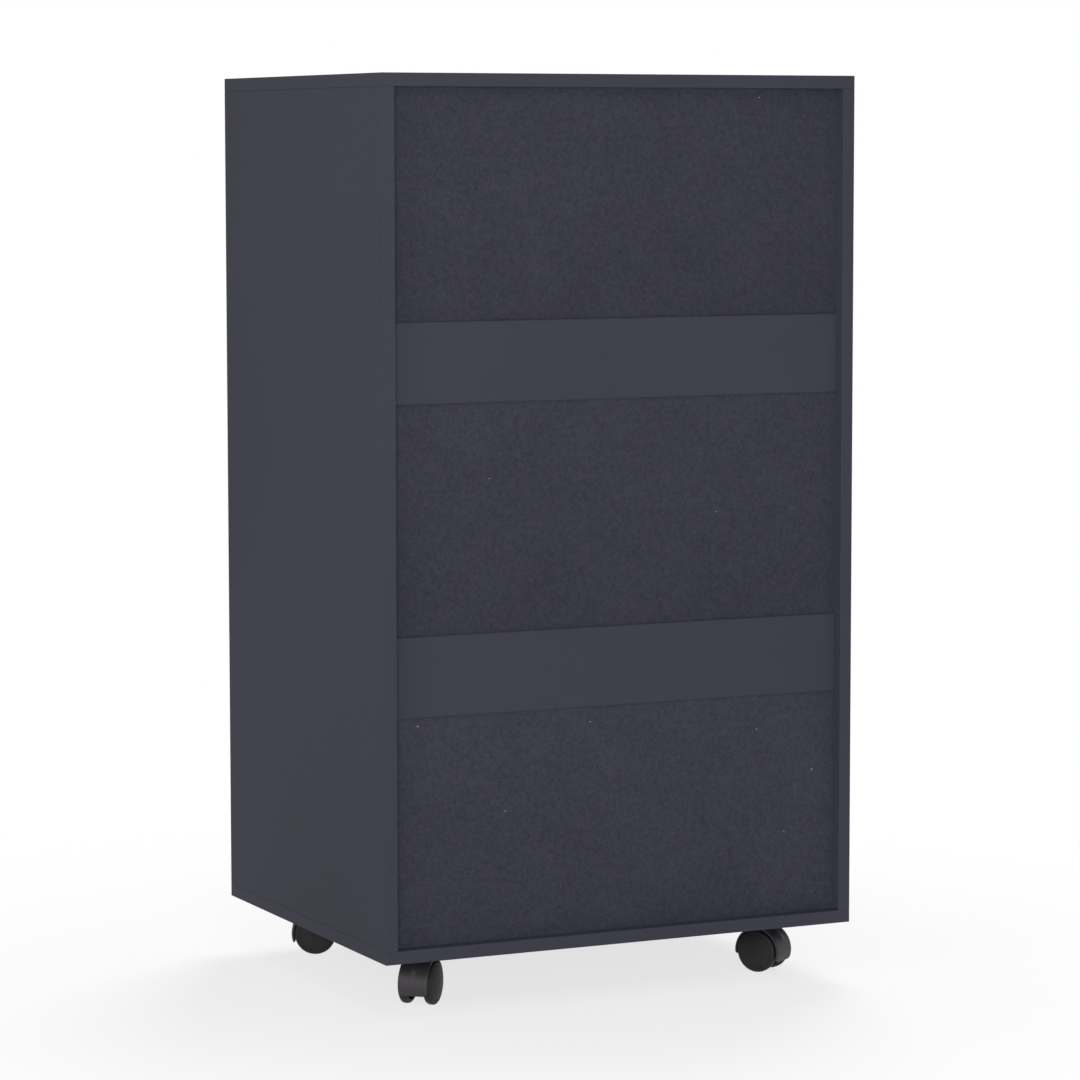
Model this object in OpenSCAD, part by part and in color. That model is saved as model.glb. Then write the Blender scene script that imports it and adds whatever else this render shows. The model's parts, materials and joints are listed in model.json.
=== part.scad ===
// A rolling cabinet with three drawers on roller runners, standing on four hooded twin-wheel casters.
// The drawer fronts face -Y and the panelled back faces +Y. The origin is on the floor, under the
// middle of the outline. Lengths are in millimetres.

/* [Carcass] */
// Width over the two side boards
body_w = 600; // [460:1:900]
// Depth from the front edges to the back edges
body_d = 480; // [420:1:700]
// Height of the carcass without its casters
body_h = 1000; // [960:1:1400]
// Thickness of the carcass boards, the back rails and the drawer fronts
board_t = 15; // [14:0.5:22]

/* [Back] */
// Height of each back rail
rail_h = 92; // [70:1:140]
// How far the back rails are set in from the back edges
rail_inset = 13; // [5:1:20]
// How far the back panels are set in behind the rails' outer faces
panel_setback = 3; // [2:0.5:4]
// Thickness of the back panels
panel_t = 3; // [2.5:0.1:4]
// Depth of the grooves that hold the back panels and the drawer bottoms
groove_depth = 6; // [4:0.5:7]
// Play of a panel in the width of its groove
groove_play = 0.2; // [0.1:0.05:0.5]
// Play at the ends of a panel, in the depth of its groove
groove_end_play = 0.5; // [0.3:0.1:1]

/* [Drawers] */
// Gap round each drawer front
front_gap = 3; // [2:0.5:5]
// How far a drawer front hangs down below its box
front_drop = 40; // [38:1:60]
// Height of the drawer box
box_h = 240; // [120:1:260]
// Thickness of the drawer box's sides and back
box_t = 12; // [12:0.5:15]
// Thickness of the drawer bottoms
bottom_t = 3; // [3:0.5:5]
// Height of a drawer bottom above the lower edge of its box
bottom_rise = 14; // [13:1:30]

/* [Handles] */
// Distance between the two screws of a handle
handle_pitch = 128; // [96:32:320]
// How far a handle stands out from its drawer front
handle_reach = 32; // [26:1:45]
// Diameter of the handle's bar
handle_dia = 10; // [8:0.5:14]
// Radius of the handle's bends, to the middle of the bar
handle_bend = 10; // [8:1:14]
// Distance of the handle below the upper edge of its drawer front
handle_drop = 60; // [30:1:150]

/* [Runners] */
// Space between a drawer's back and the back rails
drawer_clearance = 37; // [20:1:80]
// How much of a drawer box stays inside when the drawer is fully out
drawer_keep = 100; // [80:5:200]
// Space for a runner between the side board and the drawer side
runner_space = 12.5; // [12.3:0.1:14]
// Thickness of the runner steel
steel_t = 1.2; // [1:0.1:1.5]
// Height of the cabinet profile
channel_h = 24; // [20:0.5:28]
// Depth of the cabinet profile's channel
channel_d = 10; // [8:0.5:10]
// How far the cabinet profile starts behind the drawer front
channel_setback = 1; // [0.5:0.5:4]
// Width of the rollers
roller_w = 6.5; // [5:0.5:6.5]
// Gap between a roller and its track
roller_gap = 0.3; // [0.2:0.05:0.5]
// Distance of the cabinet roller's rivet from the front end of its profile
front_rivet_inset = 18; // [15:1:25]
// Distance of the drawer roller's rivet from the rear end of its profile
rear_rivet_inset = 15; // [14:1:25]
// Diameter of the rollers' rivets
rivet_dia = 5; // [4:0.1:6]
// Radial play of whatever turns on a rivet, kingpin or axle
pin_play = 0.08; // [0.04:0.01:0.1]

/* [Fittings] */
// Diameter of the cam locks
cam_dia = 15; // [12:0.5:15]
// Distance of a cam lock's middle from the joint that it draws together
cam_reach = 24; // [20:1:34]
// Distance of the outer cam bolts from the front and back edges
cam_edge = 60; // [50:1:90]
// Diameter of the cam bolts' shanks
bolt_dia = 5; // [4:0.5:6]
// Diameter of the cam bolts' threaded ends
thread_dia = 6; // [5:0.5:7]
// Depth of the threaded ends in their board
thread_l = 10; // [8:0.5:11]
// Diameter of the wooden dowels
dowel_dia = 6; // [5:0.5:8]
// Length of the wooden dowels
dowel_l = 30; // [24:1:40]
// Distance between a dowel and the cam bolt beside it
dowel_spacing = 40; // [30:1:50]
// Diameter of the wood screws
screw_dia = 4; // [3:0.1:4.5]
// Diameter of the screw heads
head_dia = 7; // [6:0.1:8]
// Play of a fitting in its hole, on the radius
fitting_play = 0.1; // [0.05:0.01:0.2]

/* [Casters] */
// Height of a caster from the floor to the top of its plate
caster_h = 64; // [62:1:80]
// Distance of the back kingpins from the outer faces of the side boards
back_inset_x = 84; // [70:1:120]
// Distance of the back kingpins from the back edge
back_inset_y = 83; // [70:1:120]
// Distance of the front kingpins from the outer faces of the side boards
front_inset_x = 94; // [70:1:120]
// Distance of the front kingpins from the front edge
front_inset_y = 78; // [70:1:120]
// Horizontal distance from a kingpin to its wheels' axle
caster_trail = 13; // [11:0.5:18]
// Diameter of the wheels
wheel_dia = 50; // [44:1:54]
// Width of the wheels' treads
tread_w = 9.5; // [8:0.5:14]
// Gap between the two wheels of a caster
wheel_gap = 20; // [16:0.5:24]
// How far a wheel's outer face bulges
wheel_dome = 3.5; // [2:0.5:6]
// Diameter of the wheels' axle
axle_dia = 6; // [5:0.5:8]
// Diameter of the kingpin
kingpin_dia = 6; // [5:0.5:6.5]
// Thickness of the hood's shell
hood_t = 2.4; // [1.5:0.1:3]
// Gap between the hood's shell and the treads
hood_gap = 1.8; // [1:0.1:2.5]
// How far the wheels' shoulders stand out of the hood at each side
hood_short = 2; // [1:0.5:5]
// Thickness of the rib between the wheels
rib_t = 6; // [4:0.5:10]
// How far the hood reaches below the axle's level at the back, in degrees round the axle
hood_low_back = 23; // [10:1:40]
// How far the hood reaches below the axle's level at the front, in degrees round the axle
hood_low_front = 12; // [0:1:25]
// Width and depth of the mounting plate
plate_w = 42; // [38:1:60]
// Thickness of the mounting plate
plate_t = 2; // [1.5:0.1:3]
// Distance between the mounting plate's screws, along each edge
plate_pitch = 30; // [28:1:32]

/* [Hidden] */
$fn = 64;
eps = 0.01;

LEVELS = ["lower", "middle", "upper"];
CORNERS = ["back_right", "back_left", "front_right", "front_left"];
DRAWER_PIECES = ["front", "left_side", "right_side", "back", "bottom", "handle", "fittings",
    "runners", "rollers"];
CASTER_PIECES = ["hood", "axle", "wheel_1", "wheel_2"];

// Which way each caster's hood faces, in degrees from +X, in the order of CORNERS
caster_angles = [46, 123, -24, 205];

// Planes of the carcass
y_back = (body_d + handle_reach) / 2;
y_front = y_back - body_d;
x_out = body_w / 2;
x_in = x_out - board_t;
z_low = caster_h;
z_floor = z_low + board_t;
z_high = z_low + body_h;
z_ceiling = z_high - board_t;

// Planes of the back
y_rail_back = y_back - rail_inset;
y_rail_front = y_rail_back - board_t;
y_panel_back = y_rail_back - panel_setback;
panel_groove_w = panel_t + groove_play;
panel_open_h = (z_ceiling - z_floor - 2 * rail_h) / 3;
function open_z(i) = z_floor + i * (panel_open_h + rail_h);
function rail_z(i) = open_z(i) + panel_open_h;

// Planes of the drawers
x_box = x_in - runner_space;
x_box_in = x_box - box_t;
runner_l = body_d - 2 * board_t - rail_inset - drawer_clearance;
drawer_travel = runner_l - drawer_keep;
y_box_front = y_front + board_t;
y_box_back = y_box_front + runner_l;
front_h = (z_ceiling - z_floor - 4 * front_gap) / 3;
function front_z(i) = z_floor + front_gap + i * (front_h + front_gap);
function box_z(i) = front_z(i) + front_drop;
function handle_z(i) = front_z(i) + front_h - handle_drop;

// Runner section: heights above the cabinet profile's lower face
leg_rise = 3;
flange_z = channel_h + 1;
flange_w = runner_space - 3;
collar_t = 0.6;
rivet_head_t = 1;
rivet_head_r = 4;
roller_side_play = 0.2;
roller_x = collar_t + roller_side_play;
roller_r = channel_h / 2 - steel_t - roller_gap;
channel_mid = channel_h / 2;
cabinet_roller_z = flange_z - roller_gap - roller_r;
stop_gap = 0.5;
stop_drop = 6;
y_channel = y_box_front + channel_setback;
y_cabinet_rivet = y_channel + front_rivet_inset;
y_drawer_rivet = y_box_back - rear_rivet_inset;
y_front_stop = y_drawer_rivet - drawer_travel - roller_r - stop_gap - steel_t;
y_rear_stop = y_drawer_rivet + roller_r + stop_gap;
y_top_leg = y_cabinet_rivet + roller_r + 4;
function runner_z(i) = box_z(i) - steel_t - leg_rise;

// Screws
head_t = 2;
runner_screw_l = 10;
cabinet_screw_l = 13;
box_screw_l = 35;
runner_screw_edge = 45;
box_screw_edge = 40;
grip_l = 10;
plate_screw_l = 12;
screw_ys = [runner_screw_edge, runner_l / 2, runner_l - runner_screw_edge];

// Casters
wheel_r = wheel_dia / 2;
wheel_in = wheel_gap / 2;
wheel_shoulder = wheel_in + tread_w;
wheel_face = wheel_shoulder + wheel_dome;
hub_r = axle_dia / 2 + 3.5;
rim_r = wheel_r - 3.5;
wheel_floor = wheel_shoulder - 2;
tread_round = 3;
shoulder_round = 1.5;
hood_in_r = wheel_r + hood_gap;
hood_out_r = hood_in_r + hood_t;
hood_w = 2 * (wheel_shoulder - hood_short);
boss_play = 1;
boss_r = wheel_in - boss_play;
axle_boss_r = 7;
swivel_gap = 0.3;
plate_z = caster_h - plate_t;
boss_top = plate_z - swivel_gap;
kingpin_l = 20;
kingpin_end_gap = 0.5;
rib_low = wheel_r - 10;
x_back_caster = x_out - back_inset_x;
y_back_caster = y_back - back_inset_y;
x_front_caster = x_out - front_inset_x;
y_front_caster = y_front + front_inset_y;
caster_places = [[x_back_caster, y_back_caster], [-x_back_caster, y_back_caster],
    [x_front_caster, y_front_caster], [-x_front_caster, y_front_caster]];

LAMINATE = "#42424c";
HARDBOARD = "#3c3c46";
STEEL = "#b9bcc0";
PLASTIC = "#2b2a2c";
TIMBER = "#c8a878";

function arc(cx, cy, r, from, to, steps) =
    [for (k = [0:steps]) let (a = from + (to - from) * k / steps) [cx + r * cos(a), cy + r * sin(a)]];

// A block from one corner to the opposite one
module block(low, high) {
    translate(low) cube(high - low);
}

// A pair of like pieces, on the right and on the left
module both_sides() {
    children();
    mirror([1, 0, 0]) children();
}

// Turns what points up to point along +X, or along +Y
module along_x() {
    rotate([0, 90, 0]) children();
}

module along_y() {
    rotate([-90, 0, 0]) children();
}

// A cross recess, cut down from z = 0
module cross_recess() {
    for (turn = [0, 90])
        rotate([0, 0, turn])
            block([-head_dia * 0.3, -0.5, -1], [head_dia * 0.3, 0.5, 1]);
}

// A flat-headed screw driven down from z = 0; play widens it into its hole
module flat_screw(l, play = 0) {
    difference() {
        union() {
            translate([0, 0, -l]) cylinder(h = l, r = screw_dia / 2 + play);
            translate([0, 0, -head_t]) cylinder(h = head_t, r1 = screw_dia / 2 + play, r2 = head_dia / 2 + play);
        }
        if (play == 0) cross_recess();
    }
}

// A round-headed screw driven down from z = 0, its head above
module pan_screw(l) {
    difference() {
        union() {
            translate([0, 0, -l]) cylinder(h = l + eps, r = screw_dia / 2);
            cylinder(h = head_t * 0.6, r = head_dia / 2);
            translate([0, 0, head_t * 0.6 - eps])
                cylinder(h = head_t * 0.4 + eps, r1 = head_dia / 2, r2 = head_dia / 2 - 1);
        }
        translate([0, 0, head_t]) cross_recess();
    }
}

module screw_hole(l) {
    translate([0, 0, -l]) cylinder(h = l + eps, r = screw_dia / 2 + fitting_play);
}

// A cam bolt: its thread goes down into one board from the joint at z = 0, its shank up into the other
module cam_bolt(play = 0) {
    translate([0, 0, -thread_l - play]) cylinder(h = thread_l + play + (play > 0 ? eps : 0), r = thread_dia / 2 + play);
    translate([0, 0, -eps]) cylinder(h = cam_reach + eps + play, r = bolt_dia / 2 + play);
}

// A cam lock, its open face at z = 0 and its body below
module cam_lock(depth, bolt_depth, play = 0) {
    difference() {
        translate([0, 0, -depth - play]) cylinder(h = depth + play + (play > 0 ? eps : 0), r = cam_dia / 2 + play);
        if (play == 0) {
            cross_recess();
            translate([0, 0, -bolt_depth]) rotate([-90, 0, 0])
                translate([0, 0, -cam_dia]) cylinder(h = cam_dia + fitting_play, r = bolt_dia / 2 + fitting_play);
        }
    }
}

// Where the side boards meet the top and bottom boards: the frame's +Z runs along the bolt from the
// outer board into the side board, and its +X points to the side board's outer face
module at_board_joints(first = 0, last = 1) {
    for (upper = [first:last], back = [0, 1])
        translate([x_out - board_t / 2, back == 0 ? y_front + cam_edge : y_back - cam_edge,
                upper == 0 ? z_floor : z_ceiling])
            mirror([0, 0, upper]) children();
}

// Where a rail's end meets a side board: +Z runs along the bolt from the side board into the rail
module at_rail_joints(i, lift) {
    translate([x_in, (y_rail_front + y_panel_back - panel_groove_w) / 2, rail_z(i) + rail_h / 2 + lift])
        rotate([0, -90, 0]) children();
}

module board_bolt(play = 0) {
    cam_bolt(play);
}

module board_cam(play = 0) {
    translate([-board_t / 2, 0, cam_reach]) rotate([0, -90, 0])
        rotate([0, 0, -90]) cam_lock(board_t - 3, board_t / 2, play);
}

module board_dowel(play = 0) {
    translate([0, 0, -thread_l - play]) cylinder(h = dowel_l + 2 * play, r = dowel_dia / 2 + play);
}

// The cam lock of a rail sits in the rail's front face
module rail_cam(play = 0) {
    depth = (y_rail_front + y_panel_back - panel_groove_w) / 2 - y_rail_front;
    translate([0, -depth, cam_reach]) rotate([90, 0, 0]) cam_lock(board_t - 3, depth, play);
}

// All the cam fittings of the carcass's right half, as solids or as holes
module carcass_cams(play = 0) {
    at_board_joints() {
        board_bolt(play);
        board_cam(play);
    }
    for (i = [0, 1])
        at_rail_joints(i, dowel_spacing / 2) {
            cam_bolt(play);
            rail_cam(play);
        }
}

module carcass_dowels(play = 0) {
    for (upper = [0, 1], back = [0, 1])
        translate([x_out - board_t / 2,
                back == 0 ? y_front + cam_edge + dowel_spacing : y_back - cam_edge - dowel_spacing,
                upper == 0 ? z_floor : z_ceiling])
            mirror([0, 0, upper]) board_dowel(play);
    for (i = [0, 1])
        at_rail_joints(i, -dowel_spacing / 2) board_dowel(play);
}

module carcass_holes() {
    both_sides() {
        carcass_cams(fitting_play);
        carcass_dowels(fitting_play);
    }
}

// Screws that hold the cabinet profiles to the side boards
module at_channel_screws() {
    for (i = [0:2], y = screw_ys)
        translate([x_in - steel_t, y_channel + y, runner_z(i) + channel_mid])
            rotate([0, -90, 0]) children();
}

module at_plate_screws() {
    for (place = caster_places, sx = [-1, 1], sy = [-1, 1])
        translate([place[0] + sx * plate_pitch / 2, place[1] + sy * plate_pitch / 2, plate_z])
            rotate([180, 0, 0]) children();
}

// Carcass boards

module panel_groove_block(low, high) {
    block([low[0], y_panel_back - panel_groove_w, low[1]], [high[0], y_panel_back, high[1]]);
}

module end_board(z_under, z_groove) {
    color(LAMINATE)
        difference() {
            block([-x_out, y_front, z_under], [x_out, y_back, z_under + board_t]);
            panel_groove_block([-x_in - groove_depth, z_groove], [x_in + groove_depth, z_groove + groove_depth + eps]);
            carcass_holes();
            at_plate_screws() screw_hole(plate_t + plate_screw_l);
        }
}

module top_panel() {
    end_board(z_ceiling, z_ceiling - eps);
}

module bottom_panel() {
    end_board(z_low, z_floor - groove_depth);
}

module side_panel() {
    color(LAMINATE)
        difference() {
            block([x_in, y_front, z_floor], [x_out, y_back, z_ceiling]);
            panel_groove_block([x_in - eps, z_floor - eps], [x_in + groove_depth, z_ceiling + eps]);
            carcass_cams(fitting_play);
            carcass_dowels(fitting_play);
            at_channel_screws() flat_screw(cabinet_screw_l, fitting_play);
        }
}

module right_side_panel() {
    side_panel();
}

module left_side_panel() {
    mirror([1, 0, 0]) side_panel();
}

module back_rail(i) {
    color(LAMINATE)
        difference() {
            block([-x_in, y_rail_front, rail_z(i)], [x_in, y_rail_back, rail_z(i) + rail_h]);
            panel_groove_block([-x_in - eps, rail_z(i) - eps], [x_in + eps, rail_z(i) + groove_depth]);
            panel_groove_block([-x_in - eps, rail_z(i) + rail_h - groove_depth],
                [x_in + eps, rail_z(i) + rail_h + eps]);
            carcass_holes();
        }
}

module back_panel(i) {
    x_end = x_in + groove_depth - groove_end_play;
    color(HARDBOARD)
        block([-x_end, y_panel_back - panel_t, open_z(i) - groove_depth],
            [x_end, y_panel_back, open_z(i) + panel_open_h + groove_depth - groove_end_play]);
}

module cam_fittings() {
    color(STEEL) both_sides() carcass_cams();
}

module dowels() {
    color(TIMBER) both_sides() carcass_dowels();
}

// Runners

// A rivet along +X with a collar behind the roller and a head in front of it
module rivet() {
    along_x() {
        translate([0, 0, -eps]) cylinder(h = collar_t + eps, r = rivet_head_r);
        cylinder(h = roller_x + roller_w + roller_side_play + eps, r = rivet_dia / 2);
        translate([0, 0, roller_x + roller_w + roller_side_play])
            cylinder(h = rivet_head_t, r = rivet_head_r);
    }
}

module roller() {
    chamfer = 0.5;
    along_x() translate([0, 0, roller_x])
        difference() {
            union() {
                cylinder(h = chamfer, r1 = roller_r - chamfer, r2 = roller_r);
                translate([0, 0, chamfer]) cylinder(h = roller_w - 2 * chamfer, r = roller_r);
                translate([0, 0, roller_w - chamfer]) cylinder(h = chamfer, r1 = roller_r, r2 = roller_r - chamfer);
            }
            translate([0, 0, -eps]) cylinder(h = roller_w + 2 * eps, r = rivet_dia / 2 + pin_play);
        }
}

// Faces inward from the web of the right-hand cabinet profile, or outward from that of the drawer profile
module at_cabinet_rivet(i) {
    translate([x_in - steel_t, y_cabinet_rivet, runner_z(i) + cabinet_roller_z]) mirror([1, 0, 0]) children();
}

module at_drawer_rivet(i) {
    translate([x_box + steel_t, y_drawer_rivet, runner_z(i) + channel_mid]) children();
}

module cabinet_profile(i) {
    z = runner_z(i);
    y_end = y_channel + runner_l;
    difference() {
        union() {
            block([x_in - steel_t, y_channel, z], [x_in, y_end, z + channel_h]);
            block([x_in - channel_d, y_channel, z], [x_in, y_end, z + steel_t]);
            block([x_in - channel_d, y_top_leg, z + channel_h - steel_t], [x_in, y_end, z + channel_h]);
            block([x_in - channel_d, y_front_stop, z + channel_h - stop_drop],
                [x_in, y_front_stop + steel_t, z + channel_h]);
            block([x_in - channel_d, y_rear_stop, z], [x_in, y_rear_stop + steel_t, z + channel_h]);
            at_cabinet_rivet(i) rivet();
        }
        at_channel_screws() flat_screw(cabinet_screw_l, fitting_play);
    }
}

module cabinet_runners() {
    color(STEEL) both_sides() for (i = [0:2]) cabinet_profile(i);
}

module cabinet_screws() {
    color(STEEL) {
        both_sides() at_channel_screws() flat_screw(cabinet_screw_l);
        at_plate_screws() pan_screw(plate_t + plate_screw_l);
    }
}

module cabinet_rollers(i) {
    color("white") both_sides() at_cabinet_rivet(i) roller();
}

module at_drawer_runner_screws(i) {
    for (y = screw_ys)
        translate([x_box - box_t / 2, y_box_front + y, runner_z(i) + leg_rise]) rotate([180, 0, 0]) children();
}

module drawer_runners(i) {
    z = runner_z(i);
    color(STEEL) both_sides()
        difference() {
            union() {
                block([x_box, y_box_front, z + leg_rise], [x_box + steel_t, y_box_back, z + flange_z + steel_t]);
                block([x_box - box_t, y_box_front, z + leg_rise], [x_box, y_box_back, z + leg_rise + steel_t]);
                block([x_box, y_box_front, z + flange_z], [x_box + flange_w, y_box_back, z + flange_z + steel_t]);
                at_drawer_rivet(i) rivet();
            }
            at_drawer_runner_screws(i) screw_hole(steel_t + 1);
        }
}

module drawer_rollers(i) {
    color("white") both_sides() at_drawer_rivet(i) roller();
}

// Drawers

// Where a drawer side meets the front: +Z runs along the bolt from the front into the side, and +X
// points to the side's outer face
module at_front_joints(i) {
    for (z = [box_z(i) + box_screw_edge, box_z(i) + box_h - box_screw_edge])
        translate([x_box - box_t / 2, y_box_front, z]) rotate([-90, 0, 0]) children();
}

module front_cam(play = 0) {
    translate([-box_t / 2, 0, cam_reach]) rotate([0, -90, 0])
        rotate([0, 0, -90]) cam_lock(box_t - 3, box_t / 2, play);
}

module at_back_screws(i) {
    for (z = [box_z(i) + box_screw_edge, box_z(i) + box_h - box_screw_edge])
        translate([x_box, y_box_back - box_t / 2, z]) along_x() children();
}

module at_handle_screws(i) {
    for (x = [-handle_pitch / 2, handle_pitch / 2])
        translate([x, y_box_front, handle_z(i)]) along_y() children();
}

module drawer_fittings(i) {
    color(STEEL) {
        both_sides() {
            at_front_joints(i) {
                cam_bolt();
                front_cam();
            }
            at_back_screws(i) flat_screw(box_screw_l);
            at_drawer_runner_screws(i) pan_screw(steel_t + runner_screw_l);
        }
        at_handle_screws(i) pan_screw(board_t + grip_l);
    }
}

// The space that a drawer bottom fills, with its play
module bottom_groove(i) {
    x_end = x_box_in + groove_depth;
    z = box_z(i) + bottom_rise;
    block([-x_end, y_box_front - groove_depth, z],
        [x_end, y_box_back - box_t + groove_depth, z + bottom_t + groove_play]);
}

module drawer_front(i) {
    x_end = x_in - front_gap;
    color(LAMINATE)
        difference() {
            block([-x_end, y_front, front_z(i)], [x_end, y_box_front, front_z(i) + front_h]);
            bottom_groove(i);
            both_sides() at_front_joints(i) cam_bolt(fitting_play);
            at_handle_screws(i) screw_hole(board_t + 1);
        }
}

module drawer_side(i) {
    color(LAMINATE)
        difference() {
            block([x_box_in, y_box_front, box_z(i)], [x_box, y_box_back, box_z(i) + box_h]);
            bottom_groove(i);
            at_front_joints(i) {
                cam_bolt(fitting_play);
                front_cam(fitting_play);
            }
            at_back_screws(i) flat_screw(box_screw_l, fitting_play);
            at_drawer_runner_screws(i) screw_hole(steel_t + runner_screw_l);
        }
}

module drawer_back(i) {
    color(LAMINATE)
        difference() {
            block([-x_box_in, y_box_back - box_t, box_z(i)], [x_box_in, y_box_back, box_z(i) + box_h]);
            bottom_groove(i);
            both_sides() at_back_screws(i) flat_screw(box_screw_l, fitting_play);
        }
}

module drawer_bottom(i) {
    x_end = x_box_in + groove_depth - groove_end_play;
    z = box_z(i) + bottom_rise;
    color(HARDBOARD)
        block([-x_end, y_box_front - groove_depth + groove_end_play, z],
            [x_end, y_box_back - box_t + groove_depth - groove_end_play, z + bottom_t]);
}

module drawer_handle(i) {
    r = handle_dia / 2;
    leg_l = handle_reach - r - handle_bend;
    bar_l = handle_pitch - 2 * handle_bend;
    color(STEEL)
        difference() {
            translate([0, y_front, handle_z(i)]) {
                both_sides() {
                    translate([handle_pitch / 2, -leg_l, 0]) along_y() cylinder(h = leg_l, r = r);
                    translate([bar_l / 2, -leg_l, 0])
                        rotate([0, 0, -90]) rotate_extrude(angle = 90) translate([handle_bend, 0]) circle(r = r);
                }
                translate([-bar_l / 2 - eps, -leg_l - handle_bend, 0]) along_x() cylinder(h = bar_l + 2 * eps, r = r);
            }
            at_handle_screws(i) screw_hole(board_t + grip_l + 1);
        }
}

// Casters

module at_caster(k) {
    translate([caster_places[k][0], caster_places[k][1], 0]) rotate([0, 0, caster_angles[k]]) children();
}

// A cylinder on the axle's line, half its length to each side
module on_axle(r, w) {
    translate([caster_trail, w / 2, wheel_r]) rotate([90, 0, 0]) cylinder(h = w, r = r);
}

module caster_plates() {
    corner_r = 4;
    reach = plate_w / 2 - corner_r;
    color(STEEL)
        for (place = caster_places)
            translate([place[0], place[1], plate_z])
                difference() {
                    union() {
                        block([-plate_w / 2, -reach, 0], [plate_w / 2, reach, plate_t]);
                        block([-reach, -plate_w / 2, 0], [reach, plate_w / 2, plate_t]);
                        for (sx = [-1, 1], sy = [-1, 1])
                            translate([sx * reach, sy * reach, 0]) cylinder(h = plate_t, r = corner_r);
                        translate([0, 0, -kingpin_l]) cylinder(h = kingpin_l + eps, r = kingpin_dia / 2);
                    }
                    for (sx = [-1, 1], sy = [-1, 1])
                        translate([sx * plate_pitch / 2, sy * plate_pitch / 2, -1])
                            cylinder(h = plate_t + 2, r = screw_dia / 2 + fitting_play);
                }
}

// The hood's shell round the axle, from its back lip over the top to its front lip
module hood_shell() {
    translate([caster_trail, 0, wheel_r]) rotate([90, 0, 0]) rotate([0, 0, -hood_low_back])
        rotate_extrude(angle = 180 + hood_low_back + hood_low_front)
            translate([hood_in_r, -hood_w / 2]) square([hood_t, hood_w]);
}

// The rib between the wheels, with the boss that the axle passes through
module hood_rib() {
    difference() {
        on_axle(hood_in_r + hood_t / 2, rib_t);
        block([caster_trail - hood_out_r, -rib_t, -hood_out_r], [caster_trail + hood_out_r, rib_t, rib_low]);
    }
    on_axle(axle_boss_r, 2 * boss_r);
}

// The socket that turns on the kingpin
module hood_boss() {
    translate([0, 0, wheel_r]) cylinder(h = boss_top - wheel_r, r = boss_r);
}

module caster_hood(k) {
    color(PLASTIC) at_caster(k)
        difference() {
            union() {
                hood_shell();
                hood_rib();
                hood_boss();
            }
            translate([0, 0, plate_z - kingpin_l - kingpin_end_gap])
                cylinder(h = kingpin_l + 2, r = kingpin_dia / 2 + pin_play);
            on_axle(axle_dia / 2, 2 * boss_r + 1);
        }
}

module caster_axle(k) {
    color(STEEL) at_caster(k) on_axle(axle_dia / 2, 2 * (wheel_floor - 0.5));
}

// One wheel: a rounded tread, a domed outer face, and a hollow inside round its hub
module caster_wheel(k, side) {
    dome_r = (pow(wheel_r - shoulder_round, 2) + pow(wheel_dome, 2)) / (2 * wheel_dome);
    dome_half = asin((wheel_r - shoulder_round) / dome_r);
    outline = concat(
        [[axle_dia / 2 + pin_play, wheel_in], [hub_r, wheel_in], [hub_r, wheel_floor], [rim_r, wheel_floor],
            [rim_r, wheel_in]],
        arc(wheel_r - tread_round, wheel_in + tread_round, tread_round, -90, 0, 5),
        arc(wheel_r - shoulder_round, wheel_shoulder - shoulder_round, shoulder_round, 0, 75, 4),
        arc(0, wheel_face - dome_r, dome_r, 90 - dome_half, 90, 8),
        [[0, wheel_floor + 0.5], [axle_dia / 2 + pin_play, wheel_floor + 0.5]]);
    color(PLASTIC) at_caster(k)
        translate([caster_trail, 0, wheel_r]) rotate([-90 * side, 0, 0]) rotate_extrude() polygon(outline);
}

top_panel();
bottom_panel();
left_side_panel();
right_side_panel();
back_panel(0);  // lower_back_panel
back_panel(1);  // middle_back_panel
back_panel(2);  // upper_back_panel
back_rail(0);  // lower_back_rail
back_rail(1);  // upper_back_rail
cam_fittings();
dowels();
cabinet_runners();
cabinet_screws();
caster_plates();
for (i = [0:2]) {
    cabinet_rollers(i);
    drawer_front(i);
    mirror([1, 0, 0]) drawer_side(i);
    drawer_side(i);
    drawer_back(i);
    drawer_bottom(i);
    drawer_handle(i);
    drawer_fittings(i);
    drawer_runners(i);
    drawer_rollers(i);
}
for (k = [0:3]) {
    caster_hood(k);
    caster_axle(k);
    caster_wheel(k, 1);
    caster_wheel(k, -1);
}
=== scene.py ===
# Looks for the rolling drawer cabinet: studio, finishes, boards, handles, runners and casters.
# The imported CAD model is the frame, so every place below comes from its nodes and joints.
import bmesh
import bpy
import json
import math
from mathutils import Matrix, Vector


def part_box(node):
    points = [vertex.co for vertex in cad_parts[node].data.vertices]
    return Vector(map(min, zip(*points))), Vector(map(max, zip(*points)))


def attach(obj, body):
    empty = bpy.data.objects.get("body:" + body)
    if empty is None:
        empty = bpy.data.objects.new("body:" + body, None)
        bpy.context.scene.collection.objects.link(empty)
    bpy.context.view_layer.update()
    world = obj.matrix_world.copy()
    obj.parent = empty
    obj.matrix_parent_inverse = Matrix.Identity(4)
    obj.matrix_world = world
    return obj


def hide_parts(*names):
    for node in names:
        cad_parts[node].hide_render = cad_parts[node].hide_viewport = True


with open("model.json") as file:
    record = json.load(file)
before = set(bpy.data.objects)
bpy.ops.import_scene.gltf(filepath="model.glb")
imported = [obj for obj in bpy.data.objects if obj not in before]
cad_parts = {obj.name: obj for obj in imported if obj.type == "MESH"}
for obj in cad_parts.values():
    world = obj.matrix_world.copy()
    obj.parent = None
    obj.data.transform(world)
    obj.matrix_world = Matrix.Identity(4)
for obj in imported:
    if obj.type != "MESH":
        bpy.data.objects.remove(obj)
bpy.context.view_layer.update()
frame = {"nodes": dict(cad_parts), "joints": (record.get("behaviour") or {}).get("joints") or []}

mm = 0.001
levels = ["lower", "middle", "upper"]
corners = ["back_right", "back_left", "front_right", "front_left"]

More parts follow.
